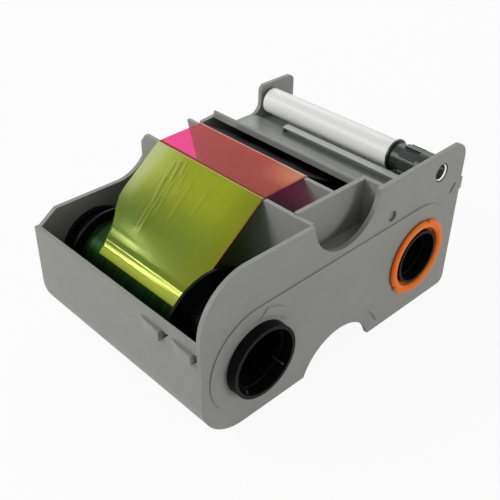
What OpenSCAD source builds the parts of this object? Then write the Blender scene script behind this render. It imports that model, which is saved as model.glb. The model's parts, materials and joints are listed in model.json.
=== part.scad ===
// Ribbon cartridge with cleaning roller for a card printer.
// Working axes before centring: x runs from the left wall's outer face to the
// right, y from the front wall's outer face to the rear, z up from the base.

/* [Frame] */
// Distance between the outer faces of the two side walls
frame_w = 98.6; // [94:0.1:106]
// Thickness of the moulded walls and floors
wall_t = 2; // [1.6:0.1:2.4]
// Height of the front wall
front_h = 45.3; // [40:0.1:49]
// Radius under the front edge
front_r = 19.3; // [12:0.1:20.5]
// Radius under the rear edge
rear_r = 3.5; // [2:0.5:7]

/* [Right side wall] */
// How far the right wall stands over the front divider, ahead of the finger notch
side_rise = 0.3; // [0:0.1:1.5]
// Radius of its upper front corner
side_top_r = 21.5; // [10:0.1:22]
// Height of the tail's rear over the roller's axis
tail_over = 10.5; // [10:0.1:12]
// How much lower the tail is just behind the notch
tail_fall = 1.3; // [0.5:0.1:2]
// Radius of the tail's upper rear corner
tail_r = 7.5; // [2:0.5:8]
// Radius of the finger notch
notch_r = 17.7; // [14:0.1:18]
// Radius of the small hole ahead of the roller's
dimple_r = 2.3; // [1.5:0.1:3]
// Radius of the raised belt round the front spool
belt_r = 22; // [21:0.1:22.5]
// Radius of the raised belt round the rear spool
rear_belt_r = 23.1; // [22:0.1:23.3]
// Height of the raised belt over the wall
belt_t = 0.5; // [0.3:0.1:0.8]

/* [Left side wall] */
// Height of the low front part
left_h = 50.5; // [50:0.1:53]
// Length of the ramp from the front wall up to the low part
left_ramp_l = 9.4; // [6:0.1:12]
// Radius of the sweep up to the front divider
sweep_r = 18; // [12:0.1:18.5]
// How much lower than the front divider the wall's post is
post_fall = 3.8; // [2.5:0.1:6]
// Height of the sill under the print head gap
sill_h = 26; // [22:0.5:32]
// How much lower than the deck's lip the wall beside it is
lip_side_fall = 2.6; // [1.5:0.1:4]
// Height of the arm that holds the cleaning roller, over the roller's axis
arm_over = 8.2; // [7.5:0.1:10]
// Length of that arm, front to rear
arm_l = 21.5; // [19:0.1:23]

/* [Dividers] */
// Thickness of the dividers
divider_t = 1.8; // [1.4:0.1:2.2]
// How much lower than the rear divider the front one is
front_divider_fall = 0.6; // [0:0.1:1.5]
// Clear gap between the dividers, where the print head works
head_gap = 19.2; // [18:0.1:19.5]
// How far the rear divider stands over the deck's lip
rear_divider_rise = 3.6; // [2.5:0.1:4.5]
// Distance of the rear divider's free corner from the left face
rear_divider_nose = 6.6; // [4:0.1:8]

/* [Arch under the frame] */
// Height of the arch
arch_h = 13.8; // [12:0.1:14]
// Radius of the arch
arch_r = 20.4; // [18:0.1:22]
// Distance of the arch's centre behind the front divider
arch_back = 18.8; // [17:0.1:21]

/* [Finger pocket] */
// Clear width of the pocket, across the cartridge
pocket_w = 7.6; // [6:0.1:9]
// Clear length of the pocket
pocket_l = 36.1; // [35.6:0.1:36.6]
// Depth of the pocket below the top of the tail behind it
pocket_d = 19.9; // [18.5:0.1:24]

/* [Deck over the supply spool] */
// Length of the slope from the lip down to the flat deck
slope_l = 14; // [12.6:0.1:15.5]
// Height of the lip over the flat deck
slope_h = 10.3; // [9:0.1:11.5]
// Width of the cross bar
bar_w = 3.7; // [2.5:0.1:4.5]
// Height of the cross bar over the flat deck
bar_h = 2.6; // [1.5:0.1:3]
// Distance of the bar's left end from the left face
bar_x = 22.6; // [12:0.5:30]
// Step from the flat deck down to the floor under the cleaning roller
bay_step = 2.1; // [1:0.1:3]

/* [Take-up spool, front] */
// Outer radius of the take-up core
takeup_core_r = 14.7; // [13:0.1:14.9]
// Wall of the take-up core
takeup_core_wall = 1.4; // [1.2:0.1:2]
// How far the take-up core stands out of the right wall
core_proud = 4.6; // [4:0.1:6]
// Radius of the take-up spool's right flange
takeup_flange_r = 23.2; // [20:0.1:23.2]
// Radius of its left flange
takeup_far_flange_r = 19.6; // [18:0.1:23]
// Depth of the used film wound on the take-up core
takeup_wound = 1.3; // [0.9:0.1:3]

/* [Supply spool, rear] */
// Distance of its axis behind the deck's lip
supply_back = 25; // [22.5:0.1:28]
// Outer radius of the supply core
supply_core_r = 12; // [10.5:0.1:12.5]
// Wall of the supply core
supply_core_wall = 1.1; // [1:0.1:1.6]
// Radius of the supply spool's flanges
supply_flange_r = 21.2; // [18:0.1:21.4]
// How far the supply core stands out of the right wall
supply_core_proud = 1.6; // [1:0.1:3]
// Depth of the fresh film wound on the supply core
supply_wound = 4.5; // [2.5:0.1:5]
// Width of the coloured collar's seat, from the core out to the wall's hole
collar_seat_w = 3; // [2.5:0.1:3.4]
// How far the collar's rim reaches past its seat
collar_rim_w = 2; // [1.2:0.1:3]
// How far the collar stands out of the right wall
collar_proud = 2.1; // [1.7:0.1:3.8]

/* [Ribs inside the cores] */
// Number of drive ribs in each core
rib_n = 4; // [3:1:8]
// Height of a drive rib
rib_h = 1.4; // [0.8:0.1:1.8]
// Thickness of a drive rib
rib_t = 1; // [0.6:0.1:1.6]
// Turn of the first rib from straight up
rib_turn = 20; // [0:5:90]
// Depth of the plain mouth ahead of the ribs
mouth_l = 5; // [3:0.5:8]

/* [Film] */
// Width of the film
film_w = 60; // [56:0.1:60.5]
// Distance of the film's left edge from the left face
film_x = 13.3; // [12:0.1:14]
// Thickness of a film panel
film_t = 0.3; // [0.2:0.05:0.4]
// Thickness of the spool flanges
flange_t = 1.2; // [0.8:0.1:1.6]

/* [Cleaning roller] */
// Distance of the roller's axis from the rear edge
roller_back = 15.8; // [15:0.1:16.5]
// Radius of the wrapped roller
roller_r = 5.9; // [5.2:0.1:6]
// Thickness of the protective wrap
wrap_t = 0.4; // [0.3:0.05:0.6]
// Radius of the spindle
spindle_r = 3; // [2.4:0.1:3.2]
// Length of the black hub, flange included
hub_l = 19.9; // [18:0.1:22]
// Radius of the hub's flange
hub_flange_r = 6.8; // [6.5:0.1:7.2]
// How far the hub's flange stands out from the body between its ribs
hub_step = 1.1; // [0.8:0.1:1.6]
// Number of wide grip ribs on the hub
hub_rib_n = 8; // [6:1:10]
// Radius of the inspection hole in the right wall
sight_hole_r = 4.1; // [3.8:0.1:4.3]

/* [Lugs] */
// How far the front lugs stand out
lug_d = 1.8; // [1.2:0.1:3]
// Width of a front lug
lug_w = 11.9; // [9:0.1:12]
// Distance from the right face to the first front lug
lug_x = 31.6; // [28:0.1:34]
// Spacing of the two front lugs
lug_pitch = 16.4; // [14:0.1:19]
// Height of a front lug
lug_h = 5.9; // [4.5:0.1:7]
// How far below the front wall's top the front lugs start
lug_drop = 3.1; // [2:0.1:5]
// How far the rear lug stands out
rear_lug_d = 1.2; // [0.8:0.1:3]
// Width of the rear lug
rear_lug_w = 8; // [5:0.1:12]
// Height of the rear lug
rear_lug_h = 5.4; // [3:0.1:8]

/* [Clearances] */
// Radial clearance of a part that turns in its hole
run_gap = 0.08; // [0.03:0.01:0.1]
// Clearance between parts that are assembled and stay still
seat_gap = 0.05; // [0.02:0.01:0.1]
// Clearance between the film and what it passes over
film_gap = 0.15; // [0.12:0.01:0.3]
// Clearance between turning parts and the frame beside them
side_gap = 0.4; // [0.3:0.1:0.6]
// Gap between the take-up flange and the trough's floor
takeup_floor_gap = 2.4; // [1:0.1:3]
// Gap between the take-up flange and the front divider
takeup_rear_gap = 3.3; // [2:0.1:4.5]
// Gap between the supply flanges and their trough
basin_gap = 2.9; // [1:0.1:3.5]
// Height of the supply trough's underside over the base
basin_lift = 0.4; // [0:0.1:1]
// Gap between the supply flanges and the roller's bay over them
deck_gap = 3.9; // [3:0.1:5]
// Gap between the roller's flange and the cross bar
bay_gap = 2; // [1:0.1:3]
// Gap between the end of the roller's hub and the right wall
hub_gap = 1.6; // [0.8:0.1:3]

/* [Hidden] */
$fn = 72;
eps = 0.01;
CUT = 200;                                   // longer than any part that is cut
GREY = [0.56, 0.565, 0.54];
BLACK = [0.06, 0.065, 0.07];

inner_x = frame_w - wall_t;                  // right wall's inner face

// along y, from the front wall to the rear edge
takeup_y = wall_t + side_gap + takeup_flange_r;
front_divider_y = takeup_y + takeup_flange_r + takeup_rear_gap;
rear_divider_y = front_divider_y + divider_t + head_gap;
left_rear_y = rear_divider_y + 12.6;         // front edge of the left wall's rear part
pocket_y = front_divider_y + divider_t;      // pocket's front end
pocket_x = inner_x - pocket_w;               // pocket wall's inner face
lip_y = pocket_y + pocket_l + wall_t;        // deck's lip, behind the pocket
slope_foot = lip_y + slope_l;
supply_y = lip_y + supply_back;
basin_r = supply_flange_r + basin_gap + wall_t;   // outer radius of the supply trough
frame_l = supply_y + basin_r;                // length of the side walls
roller_y = frame_l - roller_back;
bay_y = roller_y - hub_flange_r - bay_gap;   // start of the roller's bay
bar_front = bay_y - bar_w;

// heights, from the base up: spools, deck, dividers, then the walls
takeup_z = wall_t + takeup_floor_gap + takeup_flange_r;
supply_z = basin_lift + basin_r;
bay_floor = supply_z + supply_flange_r + deck_gap + wall_t;
deck_h = bay_floor + bay_step;
lip_h = deck_h + slope_h;
lip_side_h = lip_h - lip_side_fall;
rear_divider_h = lip_h + rear_divider_rise;
front_divider_h = rear_divider_h - front_divider_fall;
side_h = front_divider_h + side_rise;
post_h = front_divider_h - post_fall;
roller_z = bay_floor + hub_flange_r + side_gap;
arm_h = roller_z + arm_over;
tail_h = roller_z + tail_over;
tail_front_h = tail_h - tail_fall;
pocket_floor = tail_front_h - pocket_d;
rear_wall_h = bay_floor + 3;

takeup_roll_r = takeup_core_r + takeup_wound;
supply_roll_r = supply_core_r + supply_wound;
collar_seat_r = supply_core_r + collar_seat_w;
collar_r = collar_seat_r + collar_rim_w;
hub_r = hub_flange_r - hub_step;

notch_c = [front_divider_y + notch_r + 0.1, tail_front_h + 0.6];
arch_c = [front_divider_y + arch_back, arch_h - arch_r];
horn_y = front_divider_y + 5.9;              // rear edge of the left wall's horn
sweep_y = horn_y - sweep_r - 0.7;            // start of the sweep up to the horn's tip
takeup_c = [takeup_y, takeup_z];
supply_c = [supply_y, supply_z];
roller_c = [roller_y, roller_z];
left_hole_r = spindle_r + run_gap;
sight_c = [roller_c[0], roller_c[1] + sight_hole_r - spindle_r - run_gap];
arm_y = frame_l - arm_l;
arm_r = 3;
arm_fillet = 5.4;
takeup_join = front_r + 1;                   // the front divider stands on its trough here
web_z = arch_h + 0.5;                        // underside of the web under the rear divider
supply_join = web_z + wall_t;                // the rear divider stands on the web here
basin_h = supply_z + 13.5;                   // height of the supply trough's front wall

core_end = 0.3;                              // cores stop this far inside the left face
shoulder_w = 2;
shoulder_h = 1.7;
film_end = film_x + film_w;
flange_gap = 0.3;                            // between a flange and the film beside it
hub_x = inner_x - hub_gap - hub_l;
sleeve_x = wall_t + 1.6;
journal_end = 1.1;                           // spindle stops this far inside the right face

cx = (frame_w + core_proud) / 2;
cy = (frame_l + rear_lug_d - lug_d) / 2;

// ---- film path: tangents from the divider tops to the two rolls ----

film_over_front = [front_divider_y, front_divider_h + film_gap];
film_over_rear = [rear_divider_y + divider_t, rear_divider_h + film_gap];
takeup_touch_r = takeup_roll_r + 0.3;
supply_touch_r = supply_roll_r + 0.3;
takeup_reach = norm(film_over_front - takeup_c);
supply_reach = norm(film_over_rear - supply_c);
takeup_slope = atan2(film_over_front[1] - takeup_z, film_over_front[0] - takeup_y)
             - asin(takeup_touch_r / takeup_reach);
supply_slope = atan2(film_over_rear[1] - supply_z, supply_y - film_over_rear[0])
             - asin(supply_touch_r / supply_reach);
takeup_run = sqrt(pow(takeup_reach, 2) - pow(takeup_touch_r, 2));
supply_run = sqrt(pow(supply_reach, 2) - pow(supply_touch_r, 2));
takeup_touch = film_over_front - takeup_run * [cos(takeup_slope), sin(takeup_slope)];
supply_touch = film_over_rear + supply_run * [cos(supply_slope), -sin(supply_slope)];

// ---- helpers ----

// moves a part from the working axes to the centred ones
module place() translate([-cx, -cy, 0]) children();

// sweeps a (y, z) outline along x
module along_x(x, len) translate([x, 0, 0]) rotate([90, 0, 90]) linear_extrude(len) children();

// round bar along x about the axis c = (y, z)
module rod(x, len, r, c) translate([x, c[0], c[1]]) rotate([0, 90, 0]) cylinder(r = r, h = len);

// tube along x
module tube(x, len, r_out, r_in, c) difference() {
    rod(x, len, r_out, c);
    rod(x - eps, len + 2 * eps, r_in, c);
}

// what a radius r takes off a corner; inward gives the side the material is on
module corner_cut(corner, r, inward) difference() {
    polygon([corner - eps * inward,
             [corner[0] + r * inward[0], corner[1] - eps * inward[1]],
             corner + r * inward,
             [corner[0] - eps * inward[0], corner[1] + r * inward[1]]]);
    translate(corner + r * inward) circle(r);
}

// the arch under the frame, grown by g
module arch_2d(g = 0) translate(arch_c) circle(arch_r + g);

module base_cuts_2d() {
    corner_cut([0, 0], front_r, [1, 1]);
    corner_cut([frame_l, 0], rear_r, [-1, 1]);
    arch_2d();
}

// ---- side walls ----

module right_outline_2d() difference() {
    union() {
        square([frame_l, side_h]);
        polygon([[notch_c[0], side_h - 1], [frame_l, side_h - 1], [frame_l, tail_h],
                 [notch_c[0] + notch_r, tail_front_h], [notch_c[0], tail_front_h]]);
    }
    base_cuts_2d();
    corner_cut([0, side_h], side_top_r, [1, -1]);
    corner_cut([frame_l, tail_h], tail_r, [-1, -1]);
    translate(notch_c) circle(notch_r);
}

// belt-shaped outline round both spools, clear of the arch
module belt_2d() {
    up = [0, 1];
    rear_c = supply_c + [-1.6, 1];
    difference() {
        union() {
            translate(takeup_c) circle(belt_r);
            translate(rear_c) circle(rear_belt_r);
            polygon([takeup_c - belt_r * up, takeup_c + belt_r * up,
                     rear_c + rear_belt_r * up, rear_c - rear_belt_r * up]);
        }
        arch_2d(5.8);
    }
}

// low pad on the belt, beside the take-up hole
module key_pad() {
    pad_in = takeup_core_r + 1.9;
    pad_out = takeup_core_r + 5.6;
    along_x(frame_w + belt_t - eps, 0.4 + eps) intersection() {
        difference() {
            translate(takeup_c) circle(pad_out);
            translate(takeup_c) circle(pad_in);
        }
        translate(takeup_c) polygon([[1.4, 0], [0.4, pad_in], [5.2, pad_out + 1], [CUT, pad_out], [CUT, 0],
                                     [pad_in, pad_in * 0.8]]);
    }
}

module right_side_wall() color(GREY) place() difference() {
    union() {
        along_x(inner_x, wall_t) right_outline_2d();
        along_x(frame_w - eps, belt_t + eps) belt_2d();
        key_pad();
    }
    rod(inner_x - 1, wall_t + 4, takeup_core_r + run_gap, takeup_c);
    rod(inner_x - 1, wall_t + 4, collar_seat_r + run_gap, supply_c);
    rod(inner_x - 1, wall_t + 2, sight_hole_r, sight_c);
    rod(frame_w - 1.2, 3, dimple_r, [lip_y + 5, deck_h - 1.2]);
    translate([frame_w + 0.7, frame_l - 5.4, deck_h - 4.9]) rotate([-40, 0, 0]) cube([3, 1.1, 5], center = true);
}

module left_outline_2d() difference() {
    polygon([[0, 0], [0, front_h], [wall_t, front_h], [left_ramp_l, left_h], [sweep_y, left_h],
             [sweep_y, post_h], [horn_y, post_h], [horn_y, sill_h], [left_rear_y, sill_h],
             [left_rear_y, lip_side_h - 0.8], [lip_y + 3.4, lip_side_h], [slope_foot, deck_h],
             [arm_y - arm_fillet, deck_h], [arm_y - arm_fillet, deck_h + arm_fillet],
             [arm_y, deck_h + arm_fillet], [arm_y, arm_h], [frame_l, arm_h], [frame_l, 0]]);
    translate([sweep_y, left_h + sweep_r - 0.05]) circle(sweep_r);
    translate([arm_y - arm_fillet, deck_h + arm_fillet]) circle(arm_fillet);
    corner_cut([arm_y, arm_h], arm_r, [1, -1]);
    corner_cut([frame_l, arm_h], arm_r, [-1, -1]);
    base_cuts_2d();
}

module left_side_wall() color(GREY) place() difference() {
    along_x(0, wall_t) left_outline_2d();
    rod(-1, wall_t + 2, takeup_core_r + run_gap, takeup_c);
    rod(-1, wall_t + 2, supply_core_r + run_gap, supply_c);
    rod(-1, wall_t + 2, left_hole_r, roller_c);
}

// ---- troughs: floors that curve up into the front and rear walls ----

// a U-shaped outline between y0 and y1, open at the top, with bottom corners of radius r
module u_2d(y0, y1, h, r) difference() {
    translate([y0, 0]) square([y1 - y0, h]);
    corner_cut([y0, 0], r, [1, 1]);
    corner_cut([y1, 0], r, [-1, 1]);
}

module takeup_trough_2d() difference() {
    u_2d(0, pocket_y, front_h, front_r);
    translate([0, wall_t]) u_2d(wall_t, front_divider_y, CUT, front_r - wall_t);
    translate([front_divider_y - 1, takeup_join]) square([divider_t + 2, CUT]);
}

module takeup_trough() color(GREY) place() difference() {
    along_x(wall_t, inner_x - wall_t) takeup_trough_2d();
    for (k = [0, 1]) lug_window(frame_w - lug_x + lug_w + k * lug_pitch);
}

module supply_trough_2d() difference() {
    union() {
        translate(supply_c) circle(basin_r);
        translate([rear_divider_y, web_z]) square([lip_y + wall_t - rear_divider_y, wall_t]);
        translate([supply_y - basin_r, supply_z]) square([basin_r, basin_h - supply_z]);
        translate([supply_y, supply_z]) square([basin_r, rear_wall_h - supply_z]);
    }
    translate(supply_c) circle(basin_r - wall_t);
    translate([supply_y - basin_r + wall_t, supply_z]) square([2 * (basin_r - wall_t), CUT]);
    translate([supply_y - basin_r - 1, basin_h]) square([basin_r, CUT]);
}

module supply_trough() color(GREY) place() along_x(wall_t, inner_x - wall_t) supply_trough_2d();

// ---- dividers ----

// turns an (x, z) outline into a plate with its front face at y
module across_y(y, t) translate([0, y + t, 0]) rotate([90, 0, 0]) linear_extrude(t) children();

module front_divider() color(GREY) place() across_y(front_divider_y, divider_t)
    polygon([[wall_t, takeup_join], [inner_x, takeup_join], [inner_x, side_h],
             [pocket_x - wall_t, front_divider_h], [5, front_divider_h], [wall_t, post_h]]);

module rear_divider() color(GREY) place() across_y(rear_divider_y, divider_t) {
    lean = 0.34;                                       // how the free edge leans in, per unit of height
    knee_h = 45;
    knee_x = rear_divider_nose + lean * (rear_divider_h - knee_h);
    polygon([[wall_t, supply_join], [pocket_x - wall_t, supply_join],
             [pocket_x - wall_t, rear_divider_h], [rear_divider_nose, rear_divider_h],
             [knee_x, knee_h], [knee_x, sill_h], [wall_t, sill_h]]);
}

// ---- finger pocket: inner wall, rear wall and floor ----

module finger_pocket() color(GREY) place() {
    floor_z = pocket_floor - wall_t;
    wall_top = rear_divider_h;
    difference() {
        translate([pocket_x - wall_t, pocket_y, floor_z])
            cube([pocket_w + wall_t, pocket_l + wall_t, wall_top - floor_z]);
        translate([pocket_x, pocket_y - 1, pocket_floor]) cube([pocket_w + 1, pocket_l + 1, CUT]);
    }
}

// ---- deck over the supply spool, with the bay under the cleaning roller ----

module deck_2d() {
    lip_drop = 3.2;
    deck_end = frame_l - wall_t;
    polygon([[lip_y, lip_h - 0.5], [lip_y + 0.7, lip_h], [lip_y + 1.4, lip_h - 0.3],
             [slope_foot, deck_h], [bay_y, deck_h],
             [bay_y, bay_floor], [deck_end, bay_floor], [deck_end, bay_floor - wall_t],
             [bay_y - wall_t, bay_floor - wall_t], [bay_y - wall_t, deck_h - wall_t],
             [slope_foot + 0.3 * wall_t, deck_h - wall_t], [lip_y, lip_h - lip_drop]]);
}

module roller_deck() color(GREY) place() {
    end_w = 8.6;
    skin = 0.7;
    undercut = 1.9;
    along_x(wall_t, inner_x - wall_t) deck_2d();
    difference() {
        translate([bar_x, bar_front, deck_h - eps]) cube([inner_x - bar_x, bar_w, bar_h + eps]);
        translate([bar_x + skin, bar_front - 1, deck_h])
            cube([inner_x - bar_x - skin - end_w, undercut + 1, bar_h - skin]);
    }
    translate([inner_x - end_w, bar_front, deck_h - eps]) cube([end_w, bar_w, bar_h + 1]);
}

// ---- lugs ----

// one front lug: a wedge that grows to the right
module front_lug(x) {
    top = front_h - lug_drop;
    bottom = top - lug_h;
    end = x + lug_w;
    intersection() {
        across_y(-lug_d, lug_d)
            polygon([[x, top - 0.15 * lug_h], [x + 0.17 * lug_w, top], [end, top],
                     [end, top - 0.68 * lug_h], [x + 0.41 * lug_w, bottom]]);
        translate([0, 0, bottom]) linear_extrude(lug_h)
            polygon([[x, 0], [x, -lug_d / 6], [x + 0.42 * lug_w, -0.75 * lug_d], [end, -lug_d], [end, 0]]);
    }
}

module front_lugs() color(GREY) place() for (k = [0, 1]) front_lug(frame_w - lug_x + k * lug_pitch);

// three-cornered window in the front wall, beside a lug
module lug_window(x) {
    top = front_h - lug_drop;
    across_y(-wall_t, 3 * wall_t)
        polygon([[x, top], [x, top - 0.68 * lug_h], [x + 0.28 * lug_w, top - 0.05 * lug_h]]);
}

module rear_lug() color(GREY) place()
    translate([frame_w - rear_lug_w, frame_l, bay_floor - rear_lug_h])
        cube([rear_lug_w, rear_lug_d, rear_lug_h]);

// ---- spools ----

// a core: tube with two shoulders, a plain mouth and drive ribs behind it
module core(r, wall, c, end) {
    bore = r - wall;
    ribs_x = end - mouth_l;
    rib_start = core_end + 8;
    difference() {
        union() {
            rod(core_end, end - core_end, r, c);
            rod(wall_t + side_gap, shoulder_w, r + shoulder_h, c);
            rod(inner_x - side_gap - shoulder_w, shoulder_w, r + shoulder_h, c);
        }
        rod(ribs_x, mouth_l + 1, bore, c);
        rod(core_end - 1, ribs_x - core_end + 1 + eps, bore - 0.3, c);
    }
    for (k = [0 : rib_n - 1]) translate([rib_start, c[0], c[1]]) rotate([rib_turn + k * 360 / rib_n, 0, 0])
        translate([0, bore - rib_h, -rib_t / 2]) cube([ribs_x - rib_start, rib_h, rib_t]);
}

module flange(x, r, core_r, c) tube(x, flange_t, r, core_r + seat_gap, c);

module takeup_core() color(BLACK) place() 
    core(takeup_core_r, takeup_core_wall, takeup_c, frame_w + core_proud);
module takeup_flange_right() color(BLACK) place()
    flange(film_end + flange_gap, takeup_flange_r, takeup_core_r, takeup_c);
module takeup_flange_left() color(BLACK) place()
    flange(film_x - flange_gap - flange_t, takeup_far_flange_r, takeup_core_r, takeup_c);
module takeup_film_roll() color([0.20, 0.33, 0.08]) place()
    tube(film_x, film_w, takeup_roll_r, takeup_core_r + seat_gap, takeup_c);

module supply_core() color(BLACK) place() 
    core(supply_core_r, supply_core_wall, supply_c, frame_w + supply_core_proud);
module supply_flange_right() color(BLACK) place()
    flange(film_end + flange_gap, supply_flange_r, supply_core_r, supply_c);
module supply_flange_left() color(BLACK) place()
    flange(film_x - flange_gap - flange_t, supply_flange_r, supply_core_r, supply_c);
module supply_film_roll() color([0.10, 0.08, 0.10]) place()
    tube(film_x, film_w, supply_roll_r, supply_core_r + seat_gap, supply_c);

// coloured collar on the supply core's end: a seat in the wall and a rounded rim outside it
module supply_collar() color([0.96, 0.42, 0.10]) place() {
    bore = supply_core_r + seat_gap;
    rim_x = belt_t + 0.3;
    inner = supply_core_r + 0.4 * collar_seat_w;       // rim's inner wall, clear of the core
    bed = -0.2 * wall_t;                               // bottom of the ring-shaped recess inside the rim
    translate([frame_w, supply_c[0], supply_c[1]]) rotate([0, 90, 0]) rotate_extrude()
        polygon([[bore, 0.3 - wall_t], [collar_seat_r, 0.3 - wall_t], [collar_seat_r, rim_x],
                 [collar_r, rim_x], [collar_r, collar_proud - 0.9], [collar_r - 0.3, collar_proud - 0.3],
                 [collar_r - 1, collar_proud], [inner + 1.2, collar_proud],
                 [inner + 0.4, collar_proud - 0.4], [inner, collar_proud - 1.1], [inner, bed],
                 [bore, bed]]);
}

// ---- film panels ----

module panel(points) along_x(film_x, film_w) polygon(points);

module film_yellow_panel() color([0.62, 0.72, 0.15]) place() {
    up = film_t * [-sin(takeup_slope), cos(takeup_slope)];
    panel([film_over_front, film_over_front + [0, film_t / cos(takeup_slope)],
           takeup_touch + up, takeup_touch]);
}

module film_magenta_panel() color([0.86, 0.20, 0.42]) place()
    panel([film_over_front, film_over_front + [0, film_t / cos(takeup_slope)],
           film_over_rear + [0, film_t / cos(supply_slope)], film_over_rear]);

module film_supply_panel() color([0.12, 0.05, 0.08]) place() {
    up = film_t * [sin(supply_slope), cos(supply_slope)];
    panel([film_over_rear, film_over_rear + [0, film_t / cos(supply_slope)],
           supply_touch + up, supply_touch]);
}

// ---- cleaning roller ----

module roller_spindle() color(BLACK) place()
    rod(core_end, frame_w - journal_end - core_end, spindle_r, roller_c);

module roller_sleeve() color([0.75, 0.76, 0.78]) place()
    tube(sleeve_x, hub_x - sleeve_x, roller_r - wrap_t - seat_gap, spindle_r + seat_gap, roller_c);

module roller_wrap() color([0.93, 0.93, 0.92]) place()
    tube(sleeve_x, hub_x - sleeve_x - 0.4, roller_r, roller_r - wrap_t, roller_c);

// ribbed hub: flange, neck, ribbed body and end collar
module roller_hub() color(BLACK) place() {
    flange_w = 1.5;
    neck_w = 4;
    collar_w = 6.7;
    body_x = hub_x + flange_w + neck_w;
    body_l = hub_l - flange_w - neck_w - collar_w;
    rib_out = hub_step - 0.2;
    rib_w = 2.8;
    difference() {
        union() {
            rod(hub_x + seat_gap, flange_w - seat_gap, hub_flange_r, roller_c);
            rod(hub_x + seat_gap, hub_l - seat_gap, hub_r, roller_c);
            for (k = [0 : hub_rib_n - 1]) translate([body_x, roller_c[0], roller_c[1]])
                rotate([k * 360 / hub_rib_n, 0, 0])
                translate([0, hub_r - 0.6, -rib_w / 2]) cube([body_l + collar_w, 0.6 + rib_out, rib_w]);
            rod(body_x + body_l, collar_w, hub_r + rib_out, roller_c);
        }
        rod(hub_x - 1, hub_l + 2, spindle_r + seat_gap, roller_c);
    }
}

right_side_wall();
left_side_wall();
takeup_trough();
supply_trough();
front_divider();
rear_divider();
finger_pocket();
roller_deck();
front_lugs();
rear_lug();
takeup_core();
takeup_flange_right();
takeup_flange_left();
takeup_film_roll();
supply_core();
supply_flange_right();
supply_flange_left();
supply_film_roll();
supply_collar();
film_yellow_panel();
film_magenta_panel();
film_supply_panel();
roller_spindle();
roller_sleeve();
roller_wrap();
roller_hub();
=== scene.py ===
"""Ribbon cartridge with a cleaning roller: surfaces, finishes, light and camera."""
import json
from math import atan2, asin, cos, hypot, pi, radians, sin

import bmesh
import bpy
import numpy as np
from mathutils import Matrix, Vector


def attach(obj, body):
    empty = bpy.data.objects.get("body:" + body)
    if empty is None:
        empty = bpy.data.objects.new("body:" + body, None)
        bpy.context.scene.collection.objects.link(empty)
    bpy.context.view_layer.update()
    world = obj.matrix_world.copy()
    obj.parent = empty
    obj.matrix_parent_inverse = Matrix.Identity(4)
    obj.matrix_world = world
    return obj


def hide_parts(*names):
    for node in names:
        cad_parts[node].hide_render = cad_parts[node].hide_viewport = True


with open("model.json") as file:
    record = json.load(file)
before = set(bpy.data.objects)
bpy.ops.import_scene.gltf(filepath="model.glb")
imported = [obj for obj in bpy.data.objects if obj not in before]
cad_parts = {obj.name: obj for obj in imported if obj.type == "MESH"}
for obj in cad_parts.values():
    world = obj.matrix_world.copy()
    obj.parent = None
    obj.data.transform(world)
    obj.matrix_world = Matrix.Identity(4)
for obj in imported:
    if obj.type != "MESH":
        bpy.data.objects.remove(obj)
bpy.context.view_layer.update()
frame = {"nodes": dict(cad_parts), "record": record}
nodes = frame["nodes"]

# ---- sizes, in millimetres on the part's working axes ----
# x runs from the left wall's outer face, y from the front wall's outer face, z up

CENTRE = np.array([51.6, 71.25, 0.0])      # the shared frame's origin, at the base
FRAME_W = 98.6                             # right wall's outer face
TAKEUP = np.array([25.6, 27.6])            # axes of the turning parts, as (y, z)
SUPPLY = np.array([117.0, 26.5])
ROLLER = np.array([127.3, 60.8])
SIGHT = ROLLER + [0, 1.02]                 # centre of the sight hole at the roller's axle
TAKEUP_R = 16.0                            # radii of the two rolls
SUPPLY_R = 16.5
FILM_W = 60.0
FILM_LEFT = 13.3
FILM_RIGHT = FILM_LEFT + FILM_W
FRONT_EDGE = np.array([52.1, 69.15])       # dividers' top edges under the film, as (y, z)
REAR_EDGE = np.array([74.9, 69.75])
HUB_X = 75.1                               # ends of the roller's hub
HUB_END = 95.0


# ---- surfaces ----

def in_frame(points):
    """Millimetres on the working axes to metres in the shared frame: (p - centre) / 1000."""
    return (np.asarray(points, float) - CENTRE) * 0.001


def smoothstep(low, high, value):
    """0 below low, 1 above high, and 3t^2 - 2t^3 between them."""
    t = np.clip((value - low) / (high - low), 0, 1)
    return t * t * (3 - 2 * t)


def ridge(value, centre, width):
    """A bell of height 1 and that half width: exp(-(distance / width)^2)."""
    return np.exp(-(((value - centre) / width) ** 2))


def grid_faces(rows, cols, close_rows=False, close_cols=False):
    """Quads (i, j), (i+1, j), (i+1, j+1), (i, j+1) over the grid, wrapped where it closes."""
    i = np.arange(rows if close_rows else rows - 1)
    j = np.arange(cols if close_cols else cols - 1)
    i, j = np.meshgrid(i, j, indexing="ij")
    ni, nj = (i + 1) % rows, (j + 1) % cols
    quads = np.stack([i * cols + j, ni * cols + j, ni * cols + nj, i * cols + nj], -1)
    return quads.reshape(-1, 4)


def surface(name, points, finish, body, close_rows=False, close_cols=False, smooth=True):
    """A mesh over a (rows, cols, 3) grid of points in millimetres, with uv = (row, column) from 0 to 1."""
    rows, cols = points.shape[:2]
    faces = grid_faces(rows, cols, close_rows, close_cols)
    mesh = bpy.data.meshes.new(name)
    mesh.from_pydata(in_frame(points.reshape(-1, 3)).tolist(), [], faces.tolist())
    uv = np.stack(np.meshgrid(np.linspace(0, 1, rows), np.linspace(0, 1, cols), indexing="ij"), -1)
    layer = mesh.uv_layers.new(name="lay")
    corner = np.empty(len(mesh.loops), int)
    mesh.loops.foreach_get("vertex_index", corner)
    layer.data.foreach_set("uv", uv.reshape(-1, 2)[corner].ravel())
    mesh.polygons.foreach_set("use_smooth", np.full(len(mesh.polygons), smooth))
    mesh.materials.append(finish)
    piece = bpy.data.objects.new(name, mesh)
    bpy.context.scene.collection.objects.link(piece)
    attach(piece, body)
    return piece


# ---- finishes ----

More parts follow.
